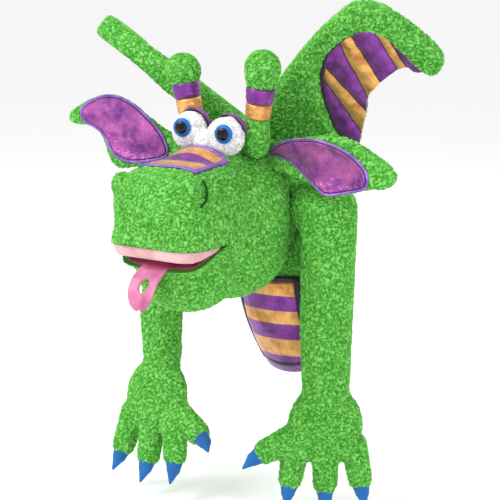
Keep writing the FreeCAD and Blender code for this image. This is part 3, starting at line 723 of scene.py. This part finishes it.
def disc(name, where, radius, deep, material, node):
    """A domed plastic disc that faces forward and a little aside."""
    bpy.ops.mesh.primitive_uv_sphere_add(segments=48, ring_count=24, radius=radius * MM, location=where,
                                         rotation=(0, 0, math.radians(LOOK_ASIDE)))
    piece = bpy.context.object
    piece.name = piece.data.name = name
    piece.scale = (1, deep / radius, 1)
    settle(piece)
    smoothed(piece)
    return dressed(piece, material, "head", [node])


for side, iris in (("left", (28, -51, 88)), ("right", (-18, -51.5, 91))):
    disc(f"iris_{side}", from_head(*iris), 8.4, 2.6, iris_blue, f"eye_iris_{side}")
    pupil = from_head(*iris) + Vector((0.7, -2.4, 0)) * MM
    disc(f"pupil_{side}", pupil, 5.6, 2.0, pupil_black, "eye_pupils")

# %% [markdown]
# A rolled purple trim covers the seam between each lobe and the head. It is the upper part of a
# standing ring: a torus cut by a level plane, with its ends closed. A thin black ring of the same
# shape along its front is a painted shadow line.

# %% Eyelid trim
def half_ring(where, radius, thick, floor, turn=(90, 0, 0)):
    """The part of a standing ring that lies above a level, with closed ends."""
    bpy.ops.mesh.primitive_torus_add(major_radius=radius * MM, minor_radius=thick * MM, location=where,
                                     major_segments=64, minor_segments=16,
                                     rotation=radians(turn))
    piece = settle(bpy.context.object)
    return edit(piece, lambda: bpy.ops.mesh.bisect(plane_co=floor, plane_no=(0, 0, 1), clear_inner=True,
                                                   use_fill=True))


trim = skinned("eyelid_trim_cloth", [
    half_ring(from_head(20 * sign, -32, 85.5 - 1.5 * sign), 18.4, 2.1, from_head(0, 0, 90))
    for sign in (1, -1)],
    voxel=1.0, rounds=3)
smoothed(trim)
dressed(trim, purple_lame, "head", ["eyelid_trim"])
# Painted shadow: a thin black ring along the trim's front, standing for the shadow at its edge.
seam = skinned("eyelid_shadow_line", [
    half_ring(from_head(20 * sign, -35, 85.5 - 1.5 * sign), 18.6, 0.8, from_head(0, 0, 90))
    for sign in (1, -1)],
    voxel=0.6, rounds=1)
dressed(seam, black_thread_and_shadow, "head")

# %% [markdown]
# ## Nose patch
# A striped patch lies over the muzzle between the eyes and the nostrils: gold, purple, gold,
# inside a black line of painted shadow and a purple edging lightened to lavender as a painted
# highlight. It is cut from the head's own form, so it fits the muzzle like cloth. The stripes are
# the same faces in other materials, parted by bisecting.

# %% Nose patch and edging
def cut_by(piece, spot, way, drop=False):
    """Cuts every face along a plane, and drops the side the arrow points to if asked."""
    return edit(piece, lambda: bpy.ops.mesh.bisect(plane_co=spot, plane_no=way, clear_outer=drop,
                                                   use_fill=drop))


def cover_over(name, low, high, thick):
    """A cloth of the given thickness that lies on the head between two corners."""
    piece = copied(head_form, name)
    shaped(piece, "DISPLACE", strength=thick * MM, mid_level=0)
    middle, half = (low + high) / 2, (high - low) / 2
    block = rounded_block(middle, [value / MM for value in half], 3)
    carved(piece, block, "INTERSECT")
    return carved(piece, head_form, keep=True)


def coloured(piece, materials, pick):
    """Gives each face one of the materials, picked from its middle."""
    for material in materials:
        piece.data.materials.append(material)
    for face in piece.data.polygons:
        face.material_index = pick(face.center)
    return piece


PATCH_CUTS, PATCH_ENDS, PATCH_SIDE = (-63.5, -73.5), (-90.6, -53.6), 28.6
# The patch is cut from the head's form, not from a flat cloth, so its flat size is an estimate.
edging = cover_over("nose_patch_edging", from_head(-33, -95, 40), from_head(33, -49, 100), 1.9)
room = rounded_block(from_head(0, -72, 70), (29.2, 19.3, 40), 3)
carved(edging, room)
# The edging's lavender is painted highlight on purple piping.
dressed(edging, highlit_edging_lame, "head", ["nose_patch_binding"])
patch = cover_over("nose_patch_cloth", from_head(-30.5, -92.5, 40), from_head(30.5, -51.5, 100), 1.5)
for y in (*PATCH_CUTS, *PATCH_ENDS):
    cut_by(patch, from_head(0, y, 0), (0, 1, 0))
for x in (-PATCH_SIDE, PATCH_SIDE):
    cut_by(patch, from_head(x, 0, 0), (1, 0, 0))


def patch_colour(middle):
    across, along = abs(middle.x) / MM, (middle.y - HEAD.y) / MM
    # The faces round the stripes are black: a painted shadow line along the edging.
    if across > PATCH_SIDE or not PATCH_ENDS[0] <= along <= PATCH_ENDS[1]:
        return 2
    return 1 if PATCH_CUTS[1] < along < PATCH_CUTS[0] else 0


coloured(patch, [gold_lame, purple_lame, black_thread_and_shadow], patch_colour)
dressed(patch, gold_lame, "head", ["nose_patch"])
for piece in (edging, patch):
    smoothed(piece)

# %% [markdown]
# ## Nostrils
# Each nostril is a soft fold at the muzzle's front corner: a small pad of fleece with a curved
# crease behind it, drawn as a thin cord of darker green: painted shade where the fold dips.

# %% Nostrils
def cord_of(name, points, radius, voxel=0.7):
    """A thin roll through a few points."""
    parts = []
    for start, end in zip(points, points[1:]):
        parts += [stub(start, end, radius, radius), ball(end, radius)]
    return skinned(name, parts + [ball(points[0], radius)], voxel=voxel, rounds=2)


# A darker copy of the green fleece, used as painted shade in the nostril creases.
painted_crease_shade = fleece("shaded fold of green fleece", "184A10", "24601A", "2E7A20", "4A8A30")
for side, sign in (("left", 1), ("right", -1)):
    flap = skinned(f"nostril_flap_{side}", [ball(from_head(38 * sign, -108, 44), (10, 9, 13)),
                                            ball(from_head(31 * sign, -103, 40), (13, 12, 14))],
                   voxel=2.0, rounds=4)
    nubbed(flap, height=0.5 * MM)
    dressed(flap, green_fleece, "head", [f"nostril_{side}"])
    arc = [(44, -98, 54), (47.5, -98, 49), (49, -98.5, 43), (49, -100.5, 37), (47.5, -105, 33)]
    crease = cord_of(f"nostril_crease_{side}", [from_head(x * sign, y, z) for x, y, z in arc], 1.2)
    dressed(crease, painted_crease_shade, "head")

# %% [markdown]
# ## Tongue
# The tongue is two layers of pink satin sewn round a long oval gap, notched at its tip. It is
# drawn flat first and then bent: each point's height becomes a length along the curve that the
# tongue droops along.

# %% Tongue
TONGUE = [(-11, 0), (-12, 14), (-14, 30), (-15, 44), (-15, 58), (-12, 70), (-5, 77), (-1.5, 77), (0, 74),
          (1.5, 77), (5, 77), (12, 70), (15, 58), (15, 44), (14, 30), (12, 14), (11, 0)]
DROOP = [(-76, -13), (-86, -17), (-100, -22), (-112, -26), (-121, -33), (-127, -42), (-130, -53), (-130, -66)]


def along_droop(length):
    """The place and outward way at a length in millimetres along the droop."""
    for (ay, az), (by, bz) in zip(DROOP, DROOP[1:]):
        run = math.hypot(by - ay, bz - az)
        if length <= run or (by, bz) == DROOP[-1]:
            share = length / run
            return ay + (by - ay) * share, az + (bz - az) * share, (bz - az) / run, -(by - ay) / run
        length -= run


tongue = flat_shape("tongue_satin_layers", rounded_line(TONGUE, 1), 2.6, front=-1.3)
gap = stub(Vector((0, -9, 59)) * MM, Vector((0, 9, 59)) * MM, 4.6, 4.6)
for vertex in gap.data.vertices:
    vertex.co.z = (vertex.co.z - 59 * MM) * 1.5 + 54 * MM
carved(tongue, gap)
remeshed(tongue, 0.8)
relaxed(tongue, 4)
for vertex in tongue.data.vertices:
    y, z, out_y, out_z = along_droop(vertex.co.z / MM)
    curl = (vertex.co.x / (15 * MM)) ** 2 * 2.0
    deep = vertex.co.y / MM + curl
    vertex.co = from_head(vertex.co.x / MM, y + out_y * deep, z + out_z * deep)
relaxed(tongue, 10)
edit(tongue, lambda: bpy.ops.mesh.select_all(action="SELECT"),
     lambda: bpy.ops.mesh.normals_make_consistent(inside=False), lambda: bpy.ops.mesh.faces_shade_smooth())
dressed(tongue, tongue_satin, "tongue_flap", ["tongue"])
flat_area(rounded_line(TONGUE, 1))
print("tongue:", len(tongue.data.vertices), "points")

# %% [markdown]
# ## Torso
# The torso is a fleece sleeve for the forearm. Its ovals lean with the puppeteer's arm, from the
# open hem up to the shoulders. A ring is extruded upwards, oval by oval, closed at the top and
# smoothed by subdivision, then given the cloth's thickness. The lining, the hem, the belly panel
# and its binding are made in the same way from slightly smaller or larger ovals.

# %% Torso sleeve
SLEEVE = [(-15, 0, 40, 44, 42), (-42, 38, 33, 46, 42), (-52, 87, 12, 52, 38),
          (-46, 132, 0, 57, 35), (-46, 160, 0, 46, 28), (-46, 174, 0, 26, 15)]


def ring_points(oval, count):
    y, z, lean, wide, deep = oval
    lean = math.radians(lean)
    for index in range(count):
        angle = math.tau * index / count
        across, along = wide * math.cos(angle), deep * math.sin(angle)
        yield Vector((across, y + along * math.cos(lean), z + along * math.sin(lean))) * MM


def sleeve(name, ovals, grow=0.0, count=48, closed=True):
    """Extrudes a ring upwards through the ovals and closes its top."""
    ovals = [(y, z, lean, wide + grow, deep + grow) for y, z, lean, wide, deep in ovals]
    bpy.ops.object.select_all(action="DESELECT")
    bpy.ops.mesh.primitive_circle_add(vertices=count, radius=MM)
    piece = bpy.context.object
    piece.name = piece.data.name = name
    for vertex, point in zip(piece.data.vertices, ring_points(ovals[0], count)):
        vertex.co = point
    bpy.ops.object.mode_set(mode="EDIT")
    bpy.ops.mesh.select_mode(type="VERT")
    bpy.ops.mesh.select_all(action="SELECT")
    for oval in ovals[1:]:
        bpy.ops.mesh.extrude_region_move()
        bpy.ops.object.mode_set(mode="OBJECT")
        ring = [vertex for vertex in piece.data.vertices if vertex.select]
        for vertex, point in zip(ring, ring_points(oval, count)):
            vertex.co = point
        bpy.ops.object.mode_set(mode="EDIT")
    if closed:
        bpy.ops.mesh.edge_face_add()
    bpy.ops.mesh.select_all(action="SELECT")
    bpy.ops.mesh.normals_make_consistent(inside=False)
    bpy.ops.object.mode_set(mode="OBJECT")
    return shaped(piece, "SUBSURF", levels=2, render_levels=2)


torso = sleeve("torso_skin", SLEEVE)
thickened(torso, 3.2)
carved(torso, stub(from_head(0, 20, 0), from_head(0, 72, 0), 32, 32))
nubbed(torso, voxel=1.7)
dressed(torso, green_fleece, "torso", ["body_cover"])

lining = sleeve("sleeve_lining", SLEEVE, grow=-4.2)
thickened(lining, 1.2)
smoothed(lining)
dressed(lining, knit_lining, "torso", ["body_lining"])

neck = stub(from_head(0, 24, 0), from_head(0, 50, 0), 34, 34)
neck.name = neck.data.name = "neck_skin"
carved(neck, stub(from_head(0, 20, 0), from_head(0, 54, 0), 31, 31))
nubbed(neck, voxel=1.7)
dressed(neck, green_fleece, "neck", ["neck_cover"])

HEM_OVALS = [SLEEVE[0], (-22.2, 9.2, 39, 44.5, 42)]
hem = sleeve("sleeve_hem_band", HEM_OVALS, grow=2.4, closed=False)
thickened(hem, 2.2)
smoothed(hem)
dressed(hem, dark_binding_and_shade_lame, "torso", ["sleeve_hem"])
print("torso made")

# %% [markdown]
# ## Belly
# The belly panel is one cloth of gold and purple stripes inside a dark binding. Bisecting along
# level planes parts the stripes, and each keeps a straight, sewn edge.

# %% Belly panel and binding
BELLY_WIDE, BELLY_TOP, BINDING = 32, 66, 5
BELLY_CUTS = (52, 37, 24, 8, -10)
# The panel is a part of the sleeve's own surface, so its length laid flat is an estimate.
SLEEVE_MIDDLE, SLEEVE_BACK = (0, -25, 0), (0, 0.92, 0.39)


def belly_cloth(name, grow, wide, top):
    piece = sleeve(name, SLEEVE, grow=grow)
    for spot, way in (((wide, 0, 0), (1, 0, 0)), ((-wide, 0, 0), (-1, 0, 0)),
                      ((0, 0, top), (0, 0, 1)), (SLEEVE_MIDDLE, SLEEVE_BACK)):
        edit(piece, lambda: bpy.ops.mesh.bisect(plane_co=Vector(spot) * MM, plane_no=way, clear_outer=True))
    return piece


panel = belly_cloth("belly_panel_cloth", 2.8, BELLY_WIDE, BELLY_TOP)
for z in BELLY_CUTS:
    cut_by(panel, (0, 0, z * MM), (0, 0, 1))
coloured(panel, [gold_lame, purple_lame],
         lambda middle: sum(middle.z < z * MM for z in BELLY_CUTS) % 2)
thickened(panel, 1.4)
smoothed(panel)
dressed(panel, gold_lame, "torso", ["belly_panel"])

binding = belly_cloth("belly_binding_band", 3.6, BELLY_WIDE + BINDING, BELLY_TOP + BINDING)
for spot, way in (((BELLY_WIDE, 0, 0), (1, 0, 0)), ((-BELLY_WIDE, 0, 0), (1, 0, 0)),
                  ((0, 0, BELLY_TOP), (0, 0, 1))):
    cut_by(binding, Vector(spot) * MM, way)
edit(binding, lambda: bpy.ops.mesh.delete(type="FACE"),
     where=lambda face: abs(face.center.x) < BELLY_WIDE * MM and face.center.z < BELLY_TOP * MM)
thickened(binding, 2.2)
smoothed(binding)
dressed(binding, dark_binding_and_shade_lame, "torso", ["belly_binding"])

ridge = skinned("back_ridge_pad", [ball(Vector((0, -32, 172)) * MM, (8, 20, 26))], voxel=2.0, rounds=2)
RIDGE_CUTS = (158, 174, 190)
for z in RIDGE_CUTS:
    cut_by(ridge, (0, 0, z * MM), (0, 0, 1))
coloured(ridge, [gold_lame, purple_lame],
         lambda middle: sum(middle.z < z * MM for z in RIDGE_CUTS) % 2)
smoothed(ridge)
dressed(ridge, purple_lame, "torso", ["back_ridge"])
print("belly made")

# %% [markdown]
# ## Arms and hands
# Each arm is a long stuffed tube that hangs from the shoulder, sewn into the torso's side. Each
# hand is a mitten with three short fingers and a thumb, with a felt claw on every tip. The arm's
# skin starts inside the torso's side at the shoulder, and the hand's skin starts inside the arm at
# the wrist.

# %% Arms
ARMS = {"left": (1, 2, (25, 23.5, 21.5), 38, 0), "right": (-1, 24, (23, 20.5, 17.5), 0, -13)}
for side, (sign, swing, (top, middle, low), _, _) in ARMS.items():
    shoulder, wrist = pivot[f"shoulder_{side}"], pivot[f"wrist_{side}"]
    angle = math.radians(swing)
    elbow = shoulder - Vector((0, 108 * math.sin(angle), 108 * math.cos(angle))) * MM
    seam = shoulder + Vector((-30 * sign, 6, -2)) * MM
    arm = skinned(f"arm_skin_{side}", [
        ball(shoulder, top), stub(seam, shoulder, top - 1, top), stub(shoulder, elbow, top, middle),
        ball(elbow, middle), stub(elbow, wrist, middle, low), ball(wrist, low - 3)], rounds=10)
    stuffed(arm, pressure=3.0, cap=2.0)
    nubbed(arm)
    dressed(arm, green_fleece, None, [f"arm_cover_{side}", f"arm_stuffing_{side}"])
    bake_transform(arm)

# %% [markdown]
# A hand is a stuffed mitten: a palm ball and four digits in one skin. Each felt claw is a bent
# cone that is sewn over a fingertip, and the four claws of a hand are one piece.

# %% Hands and claws
def digits(sign):
    """Each digit's root, way, length and radius, in millimetres below the wrist."""
    for out, down, fan, long, radius in ((-16, 38, -60, 44, 12.5), (-25, 48, -10, 38, 12.2),
                                         (0, 52, 0, 38, 12.2), (25, 48, 10, 38, 12.2)):
        fan = math.radians(fan)
        way = Vector((math.sin(fan) * sign, 0, -math.cos(fan)))
        yield Vector((out * sign, 0, -down)) * MM, way, long, radius


for side, (sign, _, (_, _, low), yaw, tilt) in ARMS.items():
    wrist = pivot[f"wrist_{side}"]
    parts = [ball(raised(0), low), stub(raised(20), raised(0), low - 0.6, low),
             ball(raised(-34), (34, 18, 37)),
             stub(raised(0), raised(-30), low, 21)]
    nails = []
    for root, way, long, radius in digits(sign):
        end = root + way * long * MM
        parts += [stub(root, end, radius, radius - 1), ball(end, radius - 1)]
        base = end + way * (radius - 12) * MM
        bent = base + way * 12 * MM + Vector((0, -2, 0)) * MM
        tip = base + way * 24 * MM + Vector((0, -7, -2)) * MM
        nails += [stub(base, bent, 9.4, 6.6), ball(bent, 6.6), stub(bent, tip, 6.6, 0.8)]
    hand = skinned(f"hand_skin_{side}", parts, voxel=2.2, rounds=6)
    stuffed(hand, pressure=3.0, cap=2.0)
    claws = skinned(f"claws_{side}_felt", nails, voxel=0.9, rounds=2)
    for piece in (hand, claws):
        placed(piece, wrist, yaw, 0, tilt)
    nubbed(hand)
    dressed(hand, green_fleece, None, [f"hand_cover_{side}", f"hand_stuffing_{side}"])
    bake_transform(hand)
    smoothed(claws)
    dressed(claws, claw_felt, f"hand_{side}", [f"claws_{side}"])
print("arms and hands made")

# %% [markdown]
# ## Wings
# Each wing is a padded fleece arch that carries a striped cloth. The cloth's stripes are sewn
# from strips, so each puffs a little between its seams. A grid is bisected along the seams, its
# points are pushed out between them, it gets a thickness, and a block with the wing's scalloped
# outline trims it. Each seam is a thin dark line of painted shade, and a dark cord along the arch's
# inner edge is painted shadow where the cloth meets the arch.

# %% Wings
ARCH = [(-60, 0), (-58, 27), (-52, 50), (-47, 71), (-35, 108), (-23, 139), (-14, 158), (-5, 176), (4, 185),
        (14, 188), (30, 186), (46, 181), (64, 173), (80, 163), (86, 156), (88, 149), (86, 142), (82, 136),
        (76, 136), (53, 149), (40, 157), (30, 161), (14, 160), (0, 143), (-10, 122), (-11, 108), (-10, 90),
        (-2, 67), (13, 39), (19, 33), (30, 10), (32, -12), (20, -32), (-6, -44), (-34, -40), (-52, -22)]
WEB = [(12, 20), (-6, 50), (-16, 80), (-17, 110), (-14, 130), (-4, 152), (10, 170), (34, 172), (60, 162),
       (80, 141), (67, 129), (57, 133), (48, 122), (41, 108), (32, 86), (36, 67), (36, 43), (38, 28), (36, 8)]
SEAMS = [((37, 154), (57, 133)), ((21, 160), (51, 127)), ((4, 146), (39, 107)), ((-4, 134), (32, 86)),
         ((-11, 103), (35, 68)), ((-10, 90), (35, 43))]
INNER_EDGE = ARCH[18:31]
PUFF, PUFF_RUN, CRUMPLE, SEAM_HALF = 2.2, 6.0, 1.2, 0.7


def above(seam, x, z):
    """How far a point lies above a seam, in millimetres."""
    (ax, az), (bx, bz) = seam
    return ((bx - ax) * (z - az) - (bz - az) * (x - ax)) / math.hypot(bx - ax, bz - az)


for side, sign in (("left", 1), ("right", -1)):
    body = f"wing_{side}"
    place, thick = {"left": ((29, 18, 37), 16), "right": ((-48, -2, 52), 22)}[side]
    root = pivot[f"wing_swing_{side}"]
    arch_line = rounded_line([(x * sign, z) for x, z in ARCH], 1)
    web_line = rounded_line([(x * sign, z) for x, z in WEB], 1)

    arch = flat_shape(f"wing_arch_{side}_skin", arch_line, thick, front=-thick / 2)
    remeshed(arch, 3.2)
    relaxed(arch, 9)
    stuffed(arch, pressure=3.0, cap=2.5)
    placed(arch, root, *place)
    nubbed(arch)
    dressed(arch, green_fleece, None, [f"wing_arch_{side}"])
    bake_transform(arch)

    bpy.ops.object.select_all(action="DESELECT")
    bpy.ops.mesh.primitive_grid_add(x_subdivisions=64, y_subdivisions=90, size=1)
    cloth = bpy.context.object
    cloth.name = cloth.data.name = f"wing_web_{side}_cloth"
    for vertex in cloth.data.vertices:
        vertex.co = Vector(((34 + vertex.co.x * 116) * sign, 0, 90 + vertex.co.y * 180)) * MM
    for (ax, az), (bx, bz) in SEAMS:
        across = Vector((az - bz, 0, (bx - ax) * sign)).normalized()
        for step in (-SEAM_HALF, SEAM_HALF):
            cut_by(cloth, Vector((ax * sign, 0, az)) * MM + across * step * MM, across)
    for vertex in cloth.data.vertices:
        x, z = vertex.co.x * sign / MM, vertex.co.z / MM
        near = min(abs(above(seam, x, z)) for seam in SEAMS)
        fold = noise.noise(Vector((x * 0.35, 0, z)) / 9)
        vertex.co.y = -(PUFF * min(1, near / PUFF_RUN) + CRUMPLE * fold) * MM

    def web_colour(middle):
        heights = [above(seam, middle.x * sign / MM, middle.z / MM) for seam in SEAMS]
        # Seam faces are dark: painted shade in the crease between two puffed strips.
        if min(abs(height) for height in heights) < SEAM_HALF:
            return 2
        return sum(height < 0 for height in heights) % 2

    coloured(cloth, [purple_lame, gold_lame, dark_binding_and_shade_lame], web_colour)
    thickened(cloth, 1.4, offset=0)
    edit(cloth, lambda: bpy.ops.mesh.normals_make_consistent(inside=False))
    outline = flat_shape("web_outline", web_line, 20, front=-10)
    carved(cloth, outline, "INTERSECT")
    # The dark cord along the inner edge is painted shadow where the web meets the arch.
    rim = cord_of(f"wing_edge_shadow_{side}_cord", [Vector((x * sign, -2.5, z)) * MM for x, z in INNER_EDGE],
                  2.0, voxel=1.0)
    for piece in (cloth, rim):
        placed(piece, root, *place)
        smoothed(piece)
    dressed(rim, dark_binding_and_shade_lame, body)
    dressed(cloth, gold_lame, body, [f"wing_membrane_{side}"])

    backing = flat_shape(f"wing_backing_{side}_skin", web_line, 3.2, front=2.0)
    placed(backing, root, *place)
    nubbed(backing, voxel=1.3, height=0.5 * MM)
    dressed(backing, green_fleece, body, [f"wing_backing_{side}"])
print("wings made")

# %% [markdown]
# ## What stays from the frame
# The upper mouth board, the hand pockets and the eye washers are plain cut parts inside the
# puppet. Their shapes are right already, so they only get their materials.

# %% Materials for the inner parts
for name, material in (("upper_mouth_board", board),
                       ("finger_pocket", knit_lining), ("thumb_pocket", knit_lining),
                       ("eye_washers", washer_grey)):
    for slot in bpy.data.objects[name].material_slots:
        slot.material = material
bpy.data.objects.remove(head_form)

# %% [markdown]
# ## Studio
# A pale floor just under the claws, a large soft light over the puppet's right, a weaker one from
# its left and a bright even room. The camera stands in front of the puppet's left side, a little
# above it, with a long lens.

# %% Floor, light and camera
def plain_material(name, code):
    material, shader = new_material(name, Base_Color=linear(code), Roughness=0.9)
    grain = add_node(material, "TexNoise", {"Vector": object_points(material), "Scale": 300.0})
    bump = add_node(material, "Bump", {"Height": grain.outputs["Fac"], "Strength": 0.02})
    link(material, bump.outputs["Normal"], shader.inputs["Normal"])
    return material


low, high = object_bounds()
bpy.ops.object.select_all(action="DESELECT")
bpy.ops.mesh.primitive_plane_add(size=12, location=(0, 0, low.z - 1 * MM))
floor = settle(bpy.context.object)
floor.name = "floor"
floor.data.materials.append(plain_material("white paper floor", "FFFFFF"))
floor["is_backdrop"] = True


def area_light(name, where, size, power, target):
    bpy.ops.object.light_add(type="AREA", location=where)
    lamp = bpy.context.object
    lamp.name = name
    lamp.data.size = size
    lamp.data.energy = power
    lamp.rotation_euler = (Vector(target) - Vector(where)).to_track_quat("-Z", "Y").to_euler()
    return lamp


AIM = from_head(13.0, 5.2, -22.2)
area_light("key_light", AIM + Vector((-0.55, -1.1, 1.25)), 0.9, 20, AIM)
area_light("fill_light", AIM + Vector((1.5, -0.7, 0.5)), 1.2, 7, AIM)
area_light("back_light", AIM + Vector((0.3, 1.4, 1.2)), 1.2, 8, AIM)
world = bpy.data.worlds.new("bright room")
world.use_nodes = True
world.node_tree.nodes["Background"].inputs["Color"].default_value = (1, 1, 1, 1)
world.node_tree.nodes["Background"].inputs["Strength"].default_value = 0.92
scene.world = world

AROUND, RISE, AWAY = math.radians(38), math.radians(10), 1.5
back = Vector((math.sin(AROUND) * math.cos(RISE), -math.cos(AROUND) * math.cos(RISE), math.sin(RISE)))
bpy.ops.object.camera_add(location=AIM + back * AWAY, rotation=back.to_track_quat("Z", "Y").to_euler())
camera = bpy.context.object
camera.name = "camera"
camera.data.lens = 120
camera.data.sensor_width = 36
scene.camera = camera
scene.view_settings.view_transform = "Standard"
print("camera", AWAY, "m from its aim")

# %% Measure the scene's bounds
low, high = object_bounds()
